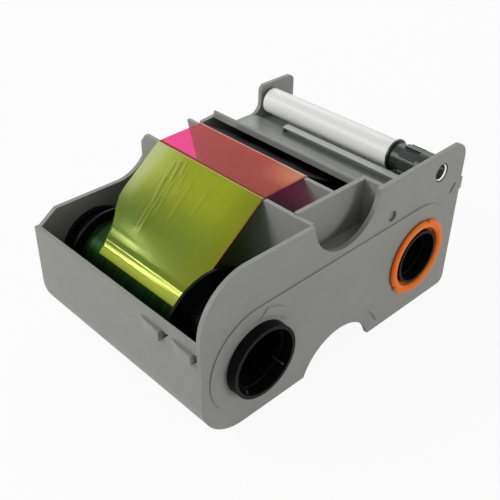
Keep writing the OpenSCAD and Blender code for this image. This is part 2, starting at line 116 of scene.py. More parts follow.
# the deck in metres: heights over which the painted shade on its level floor sets in, height of the cross
# bar's top, and its front face, which bound the painted highlight on the bar
DECK_SHADE = (0.0600, 0.0560)
BAR_TOP = (0.0577, 0.0582)
BAR_FRONT = (0.0432, 0.0437)
# where the sight ring turns dull on its way out through the right wall, in metres along x
RIM_FADE = (0.04655, 0.0467)


class Socket:
    """A shader socket in Python expressions: each operator adds its Math node."""

    def __init__(self, finish, link):
        self.finish, self.link = finish, link

    def maths(self, operation, *others, clamp=False):
        inputs = dict(enumerate((self,) + others))
        return self.finish.node("ShaderNodeMath", {"operation": operation, "use_clamp": clamp}, inputs)

    def __add__(self, other):
        return self.maths("ADD", other)

    def __sub__(self, other):
        return self.maths("SUBTRACT", other)

    def __rsub__(self, other):
        return self.finish.node("ShaderNodeMath", {"operation": "SUBTRACT"}, {0: other, 1: self})

    def __mul__(self, other):
        return self.maths("MULTIPLY", other)

    def __truediv__(self, other):
        return self.maths("DIVIDE", other)

    def __pow__(self, other):
        return self.maths("POWER", other)

    __radd__ = __add__
    __rmul__ = __mul__

    def ramp(self, low, high, start=0.0, end=1.0):
        """Smoothly from start at low to end at high, and level outside them."""
        return self.finish.node("ShaderNodeMapRange", {"interpolation_type": "SMOOTHSTEP"},
                                {"Value": self, "From Min": low, "From Max": high,
                                 "To Min": start, "To Max": end})


class Finish:
    """A material whose nodes are added one by one, and its Principled shader at the end."""

    def __init__(self, name):
        self.material = bpy.data.materials.new(name)
        self.material.use_nodes = True
        self.tree = self.material.node_tree
        self.tree.nodes.clear()

    def node(self, kind, settings=None, inputs=None, out=0):
        """Adds a node: its settings first, then values or links of its sockets; gives output out."""
        made = self.tree.nodes.new(kind)
        for key, value in (settings or {}).items():
            setattr(made, key, value)
        for key, value in (inputs or {}).items():
            socket = made.inputs[key]
            if isinstance(value, Socket):
                self.tree.links.new(value.link, socket)
            else:
                socket.default_value = value
        return Socket(self, made.outputs[out]) if len(made.outputs) else made

    def place(self):
        """The piece's own coordinates, in metres."""
        return self.node("ShaderNodeTexCoord", out="Object")

    def split(self, vector):
        """The three numbers of a vector."""
        made = self.tree.nodes.new("ShaderNodeSeparateXYZ")
        self.tree.links.new(vector.link, made.inputs[0])
        return [Socket(self, o) for o in made.outputs]

    def lay_vector(self, scale=(1, 1, 1)):
        """The surface's own map, (row, column) from 0 to 1, scaled."""
        lay = self.node("ShaderNodeUVMap", {"uv_map": "lay"})
        return self.node("ShaderNodeMapping", None, {"Vector": lay, "Scale": scale})

    def lay(self):
        """The row and the column of the surface's own map, from 0 to 1."""
        return self.split(self.lay_vector())[:2]

    def noise(self, scale, detail=2.0, stretch=(1, 1, 1), roughness=0.5):
        """Noise from 0 to 1 with that many features per metre, stretched along the axes."""
        spot = self.node("ShaderNodeMapping", None, {"Vector": self.place(), "Scale": stretch})
        return self.node("ShaderNodeTexNoise", None,
                         {"Vector": spot, "Scale": scale, "Detail": detail, "Roughness": roughness})

    def blend(self, mask, first, second):
        """first where mask is 0 and second where it is 1, as colours."""
        return self.node("ShaderNodeMix", {"data_type": "RGBA"},
                         {0: mask, 6: colour(first), 7: colour(second)}, out=2)

    def rounded(self, radius):
        """The surface's normal as if its edges were rounded to that many millimetres."""
        return self.node("ShaderNodeBevel", {"samples": 4}, {"Radius": radius * 0.001})

    def edges(self, rounded):
        """1 on a rounded edge and 0 on a flat face: how far the rounded normal leaves the true one."""
        true = self.node("ShaderNodeNewGeometry", out="Normal")
        along = self.node("ShaderNodeVectorMath", {"operation": "DOT_PRODUCT"}, {0: rounded, 1: true},
                          out="Value")
        return along.ramp(0.995, 0.85)

    def bump(self, height, distance, strength=1.0, normal=None):
        """The normal over a height from 0 to 1 that stands for that many millimetres."""
        inputs = {"Height": height, "Distance": distance * 0.001, "Strength": strength}
        if normal is not None:
            inputs["Normal"] = normal
        return self.node("ShaderNodeBump", None, inputs)

    def shader(self, **sockets):
        """A Principled shader, with the socket names written with underscores."""
        named = {key.replace("_", " "): value for key, value in sockets.items()}
        if "Base Color" in named:
            named["Base Color"] = colour(named["Base Color"])
        return self.node("ShaderNodeBsdfPrincipled", None, named)

    def done(self, shader):
        """Links the shader to the output and gives the material."""
        self.node("ShaderNodeOutputMaterial", None, {"Surface": shader})
        return self.material


def colour(value):
    """A colour of three numbers with its fourth, or a socket as it is."""
    return value if isinstance(value, Socket) else (*value, 1.0)


def srgb(red, green, blue):
    """Screen values from 0 to 255 as linear light."""
    c = np.array([red, green, blue]) / 255
    return tuple(np.where(c <= 0.04045, c / 12.92, ((c + 0.055) / 1.055) ** 2.4).tolist())


def moulded_grey(name="satin_grey_moulding", deck=False):
    """Satin moulded plastic: fine spark texture, faint flow mottling, and a painted highlight that makes
    its rounded edges a little paler.

    The deck is smoother, with streaks along it, painted shade on its level floor, stronger in the streaks,
    and a painted highlight on the cross bar's top.
    """
    f = Finish(name)
    spark = f.noise(7000, 2)
    mottle = f.noise(45, 3)
    flow = f.noise(160, 3, (1, 0.35, 1))
    soft = f.rounded(0.35)
    painted_edge_highlight = f.edges(soft)
    body = f.blend(mottle.ramp(0.3, 0.7), srgb(146, 147, 141), srgb(151, 152, 145))
    body = f.blend(flow.ramp(0.35, 0.75) * 0.5, body, srgb(143, 144, 136))
    # painted highlight: the rounded edges are mixed paler
    body = f.blend(painted_edge_highlight * 0.45, body, srgb(178, 179, 172))
    rough = 0.46 + 0.08 * mottle + 0.05 * spark
    if deck:
        _, y, z = f.split(f.place())
        streak = f.noise(240, 3, (0.12, 1, 1))
        # painted shade: the level floor, lower than 56 mm, is darkened, more in the streaks
        body = f.blend(z.ramp(*DECK_SHADE) * (0.35 + 0.5 * streak), body, srgb(100, 106, 100))
        # painted highlight: the cross bar's top is made paler, more in the streaks
        painted_bar_highlight = z.ramp(*BAR_TOP) * y.ramp(*BAR_FRONT)
        body = f.blend(painted_bar_highlight * (0.5 + 0.4 * streak), body, srgb(212, 214, 208))
        rough = 0.3 + 0.16 * streak
    normal = f.bump(spark, 0.012, 0.5, soft)
    return f.done(f.shader(Base_Color=body, Roughness=rough, Normal=normal, Specular_IOR_Level=0.45))


def satin_black(name, tone, rough, gloss, edge=0.006):
    """Black moulded plastic with a fine texture, and a painted highlight that makes its rounded edges
    greyer by that much.
    """
    f = Finish(name)
    spark = f.noise(5200, 2)
    mottle = f.noise(120, 3)
    soft = f.rounded(0.25)
    painted_edge_highlight = f.edges(soft)
    pale = tuple(2.4 * c + edge for c in tone)
    body = f.blend(mottle * 0.5, tone, tuple(1.35 * c for c in tone))
    # painted highlight: the rounded edges are mixed greyer
    body = f.blend(painted_edge_highlight * 0.5, body, pale)
    normal = f.bump(spark, 0.01, 0.5, soft)
    return f.done(f.shader(Base_Color=body, Roughness=rough + 0.1 * mottle, Normal=normal,
                           Specular_IOR_Level=gloss))


def collar_orange():
    """Satin orange moulding with faint mottling, and a painted highlight that makes its rounded edges
    paler.
    """
    f = Finish("satin_orange_moulding")
    spark = f.noise(5200, 2)
    mottle = f.noise(150, 3)
    soft = f.rounded(0.4)
    body = f.blend(mottle.ramp(0.3, 0.7), srgb(255, 116, 0), srgb(255, 126, 6))
    # painted highlight: the rounded edges are mixed paler
    body = f.blend(f.edges(soft) * 0.25, body, srgb(255, 150, 72))
    normal = f.bump(spark, 0.012, 0.5, soft)
    return f.done(f.shader(Base_Color=body, Roughness=0.36 + 0.08 * mottle, Normal=normal,
                           Specular_IOR_Level=0.2))


def bright_steel():
    """Turned steel with a fine grain, dull and dark on the outer rim."""
    f = Finish("turned_bright_steel")
    grain = f.noise(3000, 2, (3, 0.2, 0.2))
    rim = f.split(f.place())[0].ramp(*RIM_FADE)
    body = f.blend(grain, srgb(232, 234, 232), srgb(242, 243, 241))
    body = f.blend(rim, body, srgb(74, 75, 72))
    rough = 0.18 + 0.1 * grain + rim * 0.35
    return f.done(f.shader(Base_Color=body, Metallic=1.0, Roughness=rough, Normal=f.bump(grain, 0.01, 0.3)))


def wound_film(name, axis, tone, glow, sheen):
    """Film wound on a core: rings by the distance from the axis, and fine streaks round the roll."""
    f = Finish(name)
    _, y, z = f.split(f.place())
    centre = in_frame([0, axis[0], axis[1]])
    dy, dz = y - float(centre[1]), z - float(centre[2])
    reach = (dy * dy + dz * dz) ** 0.5
    layers = (reach * 9000).maths("SINE") * 0.5 + 0.5
    streak = f.noise(260, 3, (4, 0.15, 0.15))
    body = f.blend(streak.ramp(0.35, 0.7), tone, glow)
    normal = f.bump(layers * 0.5 + streak * 0.5, 0.03, 0.4)
    return f.done(f.shader(Base_Color=body, Roughness=0.24 + 0.16 * streak, Normal=normal,
                           Specular_IOR_Level=0.2, Specular_Tint=colour(sheen)))


def white_wrap():
    """Smooth white wrap with very faint waves along the roller."""
    f = Finish("smooth_white_wrap")
    wave = f.noise(60, 2, (0.25, 1, 1))
    grain = f.noise(4000, 2)
    body = f.blend(wave.ramp(0.3, 0.7), srgb(251, 252, 250), srgb(253, 253, 252))
    normal = f.bump(wave * 0.8 + grain * 0.2, 0.08, 0.35)
    return f.done(f.shader(Base_Color=body, Roughness=0.38, Normal=normal))


def tacky_sleeve():
    """Pale grey rubber."""
    f = Finish("tacky_grey_sleeve")
    grain = f.noise(2600, 3)
    body = f.blend(grain, srgb(196, 198, 202), srgb(208, 210, 213))
    return f.done(f.shader(Base_Color=body, Roughness=0.6, Normal=f.bump(grain, 0.02, 0.4)))


# fold lines of the used film: (start, lean) across it, width and height in millimetres, then how far
# down it each begins, is full, fades and ends, and how strong the painted highlight on its crest and the
# painted shade in its hollow are
FOLDS = (
    (44.05, -0.20, 0.75, 0.22, 1.8, 2.8, 9, 12, 0.85, 0.40),
    (40.95, -0.22, 0.55, 0.15, 1.8, 2.6, 6, 8.5, 0.70, 0.35),
    (46.50, -0.16, 0.70, 0.12, 2.6, 5, 12, 16, 0.40, 0.30),
    (47.50, -0.20, 0.75, 0.12, 9, 12, 20, 25, 0.45, 0.35),
    (43.70, -0.11, 0.70, 0.09, 16, 20, 30, 36, 0.30, 0.25),
    (46.60, -0.14, 0.60, 0.07, 21, 25, 31, 36, 0.30, 0.25),
    (42.20, -0.17, 0.50, 0.07, 10, 13, 22, 28, 0.30, 0.25),
    (38.60, -0.18, 0.50, 0.07, 3, 5, 10, 15, 0.30, 0.20),
    (33.00, -0.07, 0.90, 0.05, 5, 8, 22, 28, 0.20, 0.15),
    (24.00, -0.05, 0.90, 0.04, 4, 8, 14, 22, 0.15, 0.12),
)

# the used film's map: row MAP_ROW lies MAP_START mm below the divider's edge, and a whole map of
# rows as close as those on its straight stretch would be MAP_LENGTH mm long
MAP_ROW, MAP_START, MAP_LENGTH = 0.086, 1.2, 57.6


def used_yellow(f, body):
    """The yellow film's colours, with painted light and shade: a painted sheen at its left top, painted
    shade that makes it darker and greener low down, a painted highlight along its curled left edge, and
    fold lines at the left with painted highlights on their crests and painted shade in their hollows.

    It gives the colour, the folds' bump, where the face covers more, and where it is duller.
    """
    down, across = f.lay()
    wrap = down.ramp(0.83, 0.88)
    # painted shade: darker and greener low down, more towards the left, but not where it lies on the roll
    body = f.blend(down.ramp(0.2, 0.6) * (0.6 + 0.4 * across) * (1 - wrap), body, srgb(100, 128, 44))
    # painted sheen: paler at the upper left
    body = f.blend(across.ramp(0.62, 0.95) * down.ramp(0.55, 0.12) * 0.8, body, srgb(240, 250, 140))
    body = f.blend(across.ramp(0.3, 0.0) * 0.7, body, srgb(142, 150, 20))
    body = f.blend(across.ramp(0.022, 0.01) * 0.7, body, srgb(190, 120, 40))
    # painted highlight along the curled left edge, on its upper part
    body = f.blend(across.ramp(0.84, 0.95) * down.ramp(0.62, 0.25) * 0.85, body, srgb(240, 246, 184))
    body = f.blend(wrap * 0.6, body, srgb(180, 192, 40))
    seam = down.ramp(0.045, 0.02)
    body = f.blend(seam * 0.9, body, srgb(196, 112, 36))
    run = (down - MAP_ROW) * MAP_LENGTH + MAP_START
    for start, lean, width, _, begin, full, fade, end, pale, deep in FOLDS:
        off = across * FILM_W - (run * lean + start)
        length = run.ramp(begin, full) * run.ramp(end, fade)
        # painted highlight on each fold's crest, and painted shade in the hollow beside it
        crest_highlight = off.maths("ABSOLUTE").ramp(width, 0.1 * width) * length * pale
        hollow_shade = (off + 1.5 * width).maths("ABSOLUTE").ramp(1.3 * width, 0.2 * width) * length * deep
        body = f.blend(crest_highlight, body, srgb(232, 240, 128))
        body = f.blend(hollow_shade, body, srgb(92, 106, 24))
    fold = f.node("ShaderNodeTexNoise", None,
                  {"Vector": f.lay_vector((5, 150, 1)), "Scale": 1.0, "Detail": 2.0})
    zone = across.ramp(0.5, 0.6) * across.ramp(0.86, 0.76) * down.ramp(0.09, 0.14) * down.ramp(0.72, 0.4)
    # painted highlights and painted shade along fine fold streaks, in the folded zone left of the middle
    body = f.blend(fold.ramp(0.56, 0.7) * zone * 0.7, body, srgb(216, 222, 104))
    body = f.blend(fold.ramp(0.44, 0.32) * zone * 0.45, body, srgb(110, 124, 30))
    return body, f.bump(fold * zone, 0.3, 0.8), seam * 0.2, down.ramp(0.9, 0.93) * 0.26 + seam * 0.3


def taut_magenta(f, body):
    """The magenta film's colours: a painted highlight where it bends over the rear edge, paler and more
    orange towards the right rear corner and along the right edge, deep red at the seam.
    """
    rear, left = f.lay()
    corner = left.ramp(0.34, 0.0) * rear.ramp(0.75, 0.1)
    body = f.blend(corner * 0.6, body, srgb(232, 160, 96))
    body = f.blend(left.ramp(0.025, 0.01) * 0.6, body, srgb(240, 170, 110))
    # painted highlight where the film bends over the rear divider's edge
    body = f.blend(rear.ramp(0.075, 0.045) * 0.8, body, srgb(246, 190, 160))
    seam = rear.ramp(0.955, 0.975)
    body = f.blend(seam * 0.9, body, srgb(120, 14, 24))
    return body, None, corner * 0.4 + rear.ramp(0.075, 0.045) * 0.5 + seam * 0.6, seam * 0.35


def clear_film(name, dye, tint, gloss_rough, share, sheen=(1.0, 1.0, 1.0), gloss=0.5, marks=None):
    """Thin dyed film: light passes through tinted, and the rest meets a glossy coated face.

    share is how much of the light the coated face takes, from 0 to 1, sheen tints its gloss,
    and marks adds what sets one panel apart, painted light and shade included: its colours, its folds,
    where its face covers more and where it is duller.
    """
    f = Finish(name)
    streak = f.noise(420, 3, (1, 0.12, 0.12))
    cloud = f.noise(55, 3)
    body = f.blend(streak.ramp(0.25, 0.75) * 0.35, dye, tuple(0.85 * c for c in dye))
    body = f.blend(cloud.ramp(0.35, 0.7) * 0.5, body, tuple(0.8 * c for c in dye))
    folds, cover, dull = None, 0, 0
    if marks:
        body, folds, cover, dull = marks(f, body)
    normal = f.bump(streak * 0.6 + cloud * 0.4, 0.03, 0.3, folds)
    face = f.shader(Base_Color=body, Roughness=dull + gloss_rough, Normal=normal, IOR=1.5,
                    Specular_Tint=colour(sheen), Specular_IOR_Level=gloss)
    through = f.node("ShaderNodeBsdfTransparent", None, {"Color": colour(tint)})
    return f.done(f.node("ShaderNodeMixShader", None, {0: cover + share, 1: through, 2: face}))


# ---- film ----

def fall(edge, axis, lie):
    """Angle below level at which the film runs from a divider's edge to touch a roll of radius lie."""
    reach = hypot(*(axis - edge))
    return atan2(edge[1] - axis[1], abs(axis[0] - edge[0])) - asin(lie / reach)


FILM_T = 0.1                               # thickness of the film
BEND = 0.7                                 # radius of its bend over a divider
RIDE = 0.12                                # height of its middle over the dividers' edges
FRONT_LIE = TAKEUP_R + 0.42                # radius at which it meets each roll
REAR_LIE = SUPPLY_R + 0.42
FRONT_FALL = fall(FRONT_EDGE, TAKEUP, FRONT_LIE)
REAR_FALL = fall(REAR_EDGE, SUPPLY, REAR_LIE)
FRONT_RUN = (hypot(*(TAKEUP - FRONT_EDGE)) ** 2 - FRONT_LIE ** 2) ** 0.5
REAR_RUN = (hypot(*(SUPPLY - REAR_EDGE)) ** 2 - REAR_LIE ** 2) ** 0.5
FRONT_FILM = (FRONT_EDGE, TAKEUP, FRONT_LIE, FRONT_FALL, FRONT_RUN, -1)
REAR_FILM = (REAR_EDGE, SUPPLY, REAR_LIE, REAR_FALL, REAR_RUN, 1)
LEVEL = atan2(REAR_EDGE[1] - FRONT_EDGE[1], REAR_EDGE[0] - FRONT_EDGE[0])
LEVEL_RUN = hypot(*(REAR_EDGE - FRONT_EDGE))
SEAM = 0.55                                # the panels' seam, behind the front divider's edge
OVERLAP = 0.55                             # how far the used panel reaches on past it
PAST = 0.9                                 # where the dark film begins, past the rear divider's edge


def down_to_roll(s, edge, axis, lie, slope, run, side):
    """(y, z, ny, nz) at a distance s past a divider's edge, towards side (-1 front, 1 rear).

    The film leaves the level stretch on a bend of radius BEND, runs straight to the roll and
    then lies round it. n is the unit normal on the film's upper side: it turns from the level
    stretch's normal to the slope's over the bend, and then by s / lie on the roll.
    """
    level = -side * LEVEL
    swing = slope - level
    cut = BEND * np.tan(swing / 2)
    bend = np.clip((s + cut) / (2 * cut), 0, 1)
    tilt = level + swing * bend + np.maximum(s - run, 0) / lie
    ny, nz = side * np.sin(tilt), np.cos(tilt)
    flat = np.clip(s, 0, run)
    y = edge[0] + side * (flat * cos(slope) + np.minimum(s, 0) * cos(level))
    z = edge[1] + RIDE - flat * sin(slope) - np.minimum(s, 0) * sin(level)
    sag = BEND * (1 / cos(swing / 2) - 1) * (1 - np.clip(np.abs(s) / cut, 0, 1)) ** 2
    middle = (level + slope) / 2
    y, z = y - side * sag * sin(middle), z - sag * cos(middle)
    rolled = s > run
    y = np.where(rolled, axis[0] + lie * ny, y)
    z = np.where(rolled, axis[1] + lie * nz, z)
    return y, z, ny, nz


def film(name, points, finish, replaced):
    """A web of film over a grid of points, made FILM_T thick, which hides the pieces that it replaces."""
    piece = surface(name, points, finish, "frame")
    wall = piece.modifiers.new("wall", "SOLIDIFY")
    wall.thickness = FILM_T * 0.001
    wall.offset = 0
    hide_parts(*replaced)
    return piece


def yellow_panel():
    """The used panel, from the front divider's top to the take-up roll, with a curled left edge.

    s runs down the film and w across it from the right edge. The left edge draws in by
    tuck millimetres, which depends on y: the width that is left turns under in a curl of
    radius curl. Creases are narrow bells along the film, and buckles are broad ones.
    """
    wrap, overlap_rows, columns = 3.1, 3, 240
    s = np.concatenate([np.linspace(-SEAM - OVERLAP, -SEAM, overlap_rows + 1)[:-1],
                        np.linspace(-SEAM, 1.2, 12)[:-1],
                        np.linspace(1.2, FRONT_RUN - 3, 120)[:-1],
                        np.linspace(FRONT_RUN - 3, FRONT_RUN + wrap, 30)])[:, None]
    w = np.linspace(0, FILM_W, columns + 1)[None, :]
    y, z, ny, nz = down_to_roll(s, *FRONT_FILM)
    tuck = np.interp(y, [15.0, 16.3, 19.0, 22.4, 26.9, 31.3, 34.5], [9.9, 9.7, 8.2, 6.5, 2.7, 0.35, 0.0])
    gap = np.maximum(FRONT_RUN - s, 0)
    curl = np.minimum(0.22 + 0.3 * tuck, 1.3) * smoothstep(0, 14, gap) + 0.13
    bend = FILM_W - tuck - curl
    past = np.maximum(w - bend, 0)
    turn = np.minimum(past / curl, pi)
    under = np.maximum(past - pi * curl, 0)
    x = FILM_RIGHT - np.minimum(w, bend) - curl * np.sin(turn) + under
    drop = curl * (1 - np.cos(turn))
    free = smoothstep(0, 6, s) * smoothstep(8, 24, gap)
    lie = np.minimum(w, bend)
    height = sum(crease(lie, s, *row[:8]) for row in FOLDS)
    height *= smoothstep(0, 4, gap)
    buckle = 0.3 * ridge(lie, 53.0 - 0.1 * s, 6.0) * ridge(s, 15, 9)
    buckle -= 0.1 * ridge(lie, 34.0, 9.0) * ridge(s, 18, 9)
    height += buckle * free * smoothstep(0, 6, bend - lie + 3)
    ripple = 0.012 * ridge(gap, 6.4 + 0.03 * lie, 0.9) * smoothstep(30, 44, lie)
    height += 0.13 * ridge(gap, 3.0, 1.2) + ripple - drop
    points = np.stack([x + 0 * height, y + ny * height, z + nz * height], -1)
    piece = film("yellow_film", points, YELLOW, ["film_yellow_panel"])
    piece.data.materials.append(TWO_DYES)
    overlap = np.zeros(len(piece.data.polygons), int)
    overlap[:overlap_rows * columns] = 1
    piece.data.polygons.foreach_set("material_index", overlap)
    return piece


def crease(across, s, start, lean, width, height, begin, full, fade, end):
    """A narrow bell along the film: at start + lean s, risen over begin..full, gone over fade..end."""
    length = smoothstep(begin, full, s) * (1 - smoothstep(fade, end, s))
    return height * ridge(across, start + lean * s, width) * length


def magenta_panel():
    """The next panel, on top of both dividers and bent over the rear one.

    back is the distance behind the front edge. Between the dividers the film hangs 0.1 mm
    low in the middle and waves a little.
    """
    begin, end = SEAM + OVERLAP, LEVEL_RUN + PAST
    back = np.linspace(begin, end, 90)[:, None]
    front_y, front_z = down_to_roll(-back, *FRONT_FILM)[:2]
    rear_y, rear_z = down_to_roll(back - LEVEL_RUN, *REAR_FILM)[:2]
    near_rear = back > LEVEL_RUN / 2
    y, z = np.where(near_rear, rear_y, front_y), np.where(near_rear, rear_z, front_z)
    x = np.linspace(FILM_RIGHT, FILM_LEFT, 61)[None, :]
    across = (x - FILM_LEFT) / FILM_W
    free = smoothstep(2.2, 6, back) * (1 - smoothstep(15, 20.5, back))
    wave = (0.05 * np.sin(across * 11 + back * 0.3) - 0.1 * np.sin(across * pi)) * free
    points = np.stack([x + 0 * back, y + 0 * x, z + wave], -1)
    return film("magenta_film", points[::-1], MAGENTA, ["film_magenta_panel"])


def supply_panel():
    """The dark film from the rear divider down to the supply roll, straight, then a little way round it."""
    wrap = 8
    s = np.concatenate([np.linspace(PAST, REAR_RUN - 3, 80)[:-1],
                        np.linspace(REAR_RUN - 3, REAR_RUN + wrap, 20)])[:, None]
    x = np.linspace(FILM_LEFT, FILM_RIGHT, 61)[None, :]
    y, z, ny, nz = down_to_roll(s, *REAR_FILM)
    free = smoothstep(2, 8, s) * (1 - smoothstep(REAR_RUN - 12, REAR_RUN, s))
    wave = 0.15 * np.sin(x * 0.35 + s * 0.1) * free - 0.2 * free
    points = np.stack([x + 0 * y, y + wave * ny, z + wave * nz], -1)
    return film("dark_film", points, DARK_FILM, ["film_supply_panel"])


# ---- turned pieces ----

def turned(name, axis, xs, radii, finish, body, node, steps=96, smooth=True):
    """A closed profile turned about an axis along x: (x, axis + r (cos a, sin a)).

    radii is one radius for each x, or one row of radii over the steps of the angle a.
    """
    angle = np.linspace(0, 2 * pi, steps, endpoint=False)
    radii = np.asarray(radii, float)
    radii = radii if radii.ndim == 2 else np.repeat(radii[:, None], steps, 1)
    x = np.repeat(np.asarray(xs, float)[:, None], steps, 1)
    points = np.stack([x, axis[0] + radii * np.cos(angle), axis[1] + radii * np.sin(angle)], -1)
    piece = surface(name, points, finish, body, close_rows=True, close_cols=True, smooth=smooth)
    if node:
        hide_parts(node)
    return piece


def grip_hub():
    """The roller's black hub: a thin flange, a plain neck, eight wide flat ribs and a fuller end.

    A rib's outer face is flat: at an angle a from its middle the radius is top / cos(a), as
    far as the side of a 2.8 mm wide rib, where it falls to the body's 5.7 mm.
    """
    steps, ribs = 8 * 40, 8
    angle = np.linspace(0, 2 * pi, steps, endpoint=False)
    off = (angle + pi / ribs) % (2 * pi / ribs) - pi / ribs
    top, body, half, bore = 6.6, 5.7, 1.4, 3.1
    face = top / np.cos(off)
    on_rib = 1 - smoothstep(half - 0.12, half + 0.12, np.abs(face * np.sin(off)))
    x0 = HUB_X + 0.05
    full = np.ones(steps)
    rows = [(x0, bore, 0), (x0, 6.6, 0), (x0 + 0.15, 6.8, 0), (x0 + 0.9, 6.8, 0), (x0 + 1.05, 6.65, 0),
            (x0 + 1.1, body, 0), (x0 + 5.4, body, 0), (x0 + 5.45, body, 0.25), (x0 + 5.6, body, 0.96),
            (x0 + 5.8, body, 1), (x0 + 9, body, 1), (x0 + 12.9, body, 1), (x0 + 13.1, body, 1)]
    xs = [r[0] for r in rows]
    radii = [r[1] * full + r[2] * (face - r[1]) * on_rib for r in rows]
    end_face = np.minimum(top + 0.02, np.maximum(face, top)) * full
    for x, shrink in ((x0 + 13.15, 0.45), (x0 + 13.3, 0.1), (x0 + 13.5, 0), (x0 + 16.5, 0),
                      (HUB_END - 0.4, 0), (HUB_END - 0.1, 0.12), (HUB_END, 0.4)):
        xs.append(x)
        radii.append(np.maximum(end_face - shrink, body + on_rib * (face - body) if x < x0 + 13.4 else 0))
    xs.append(HUB_END)
    radii.append(bore * full)
    return turned("grip_hub", ROLLER, xs, radii, HUB_BLACK, "cleaning_roller", "roller_hub",
                  steps, smooth=False)


def collar_ring():
    """The orange collar: a rounded ring round a recess that shows the core's end, with two notches.

    The profile is a closed loop of (x outside the wall, radius). In a notch, the rounded
    edge that lies further out than low draws in from the rim by depth.
    """
    loop = [(-1.7, 12.1), (-1.7, 14.98), (0.75, 14.98), (0.8, 16.8), (0.95, 17.0), (1.3, 17.0),
            (1.65, 16.85), (1.92, 16.55), (2.07, 16.15), (2.1, 15.6), (2.1, 14.9), (2.02, 14.3),
            (1.83, 13.8), (1.5, 13.42), (1.1, 13.22), (0.6, 13.2), (-0.35, 13.2), (-0.4, 12.1)]
    rim, depth, low = 17.0, 0.8, 0.9
    steps = 180
    angle = np.linspace(0, 2 * pi, steps, endpoint=False)
    notch = sum(smoothstep(radians(4.2), radians(3.0), np.abs((angle - radians(a) + pi) % (2 * pi) - pi))
                for a in (78, 210))
    xs = [FRAME_W + x for x, _ in loop]
    radii = [np.minimum(r, rim - depth * notch) if x > low else r + 0 * notch for x, r in loop]
    return turned("orange_collar", SUPPLY, xs, radii, ORANGE, "supply_spool",
                  "supply_collar", steps)


def sight_ring():
    """A bright ring in the right wall's sight hole, and the dark bore in the axle's end behind it.

    The ring is a closed profile of (x, radius) round the hole's centre, with a rounded lip,
    and the bore's floor is a flat disc on the axle.
    """
    xs, radii = zip((97.62, 2.95), (97.62, 4.06), (98.3, 4.06), (98.42, 4.02), (98.47, 3.92), (98.44, 3.8),
                    (98.34, 3.68), (98.2, 3.52), (97.9, 3.2))
    turned("sight_ring", SIGHT, xs, radii, STEEL, "frame", None, 72)
    a = np.linspace(0, 2 * pi, 48, endpoint=False)
    bore = 2.1
    disc = np.stack([0 * a, ROLLER[0] + bore * np.cos(a), ROLLER[1] + bore * np.sin(a)], -1)
    surface_closed("axle_bore", np.stack([disc + [97.4, 0, 0], disc + [97.55, 0, 0]]), CORE_BLACK,
                   "cleaning_roller")


def mouth_ribs():
    """Short thin ribs just inside the take-up core's mouth: a tapered blade along x on the bore's wall.

    A blade's corners are (x, r, side): its root is sunk 0.1 mm into the bore's wall at 13.3 mm.
    """
    for k, turn in enumerate((58, 146, 234, 322)):
        a = radians(turn)
        out, side = np.array([0, cos(a), sin(a)]), np.array([0, -sin(a), cos(a)])
        ends = [(96.6, 13.4, 12.0), (97.2, 13.4, 11.9), (101.4, 13.4, 12.3), (102.0, 13.4, 12.9)]
        rings = []
        for x, root, tip in ends:
            rings.append([np.array([x, *TAKEUP]) + out * r + side * h
                          for r, h in ((root, -0.35), (tip, -0.25), (tip, 0.25), (root, 0.35))])
        surface_closed(f"mouth_rib_{k + 1}", np.array(rings), RIB_BLACK, "takeup_spool")


def surface_closed(name, rings, finish, body):
    """A bar through rings of points (rows, cols, 3), with a flat face on each end."""
    piece = surface(name, rings, finish, body, close_cols=True, smooth=False)
    rows, cols = rings.shape[:2]
    faces = [list(p.vertices) for p in piece.data.polygons]
    faces += [list(range(cols))[::-1], [(rows - 1) * cols + j for j in range(cols)]]
    mesh = bpy.data.meshes.new(name + "_closed")
    mesh.from_pydata([tuple(v.co) for v in piece.data.vertices], [], faces)
    mesh.materials.append(finish)
    piece.data = mesh
    bm = bmesh.new()
    bm.from_mesh(mesh)
    bmesh.ops.recalc_face_normals(bm, faces=bm.faces)
    bm.to_mesh(mesh)
    bm.free()
    return piece


# ---- the object ----

GREY = moulded_grey()
DECK = moulded_grey("smooth_grey_deck", True)
CORE_BLACK = satin_black("satin_black_core", (0.004, 0.0045, 0.0045), 0.42, 0.07, 0.05)
RIB_BLACK = satin_black("satin_black_rib", (0.03, 0.034, 0.03), 0.32, 0.4, 0.06)
HUB_BLACK = satin_black("satin_black_hub", (0.018, 0.022, 0.019), 0.26, 0.38)
ORANGE = collar_orange()
STEEL = bright_steel()
WRAP = white_wrap()
SLEEVE = tacky_sleeve()
ROLL_GREEN = wound_film("wound_green_film", TAKEUP, (0.004, 0.014, 0.004), (0.012, 0.04, 0.01),
                        (0.15, 0.8, 0.15))
ROLL_DARK = wound_film("wound_dark_film", SUPPLY, (0.006, 0.004, 0.006), (0.014, 0.01, 0.014),
                       (0.8, 0.7, 0.9))
YELLOW = clear_film("yellow_film_face", srgb(194, 207, 46), (0.45, 0.6, 0.04), 0.12, 0.66,
                    (0.85, 1.0, 0.2), 0.7, used_yellow)
TWO_DYES = clear_film("overlap_film_face", srgb(150, 40, 30), (0.8, 0.2, 0.1), 0.5, 0.85,
                      (1.0, 0.5, 0.3), 0.15)
MAGENTA = clear_film("magenta_film_face", (0.96, 0.33, 0.1), (1.0, 0.025, 0.62), 0.16, 0.24,
                     (1.0, 0.45, 0.4), 0.2, taut_magenta)
DARK_FILM = clear_film("dark_film_face", (0.006, 0.005, 0.008), (0.02, 0.01, 0.02), 0.55, 0.92,
                       gloss=0.05)

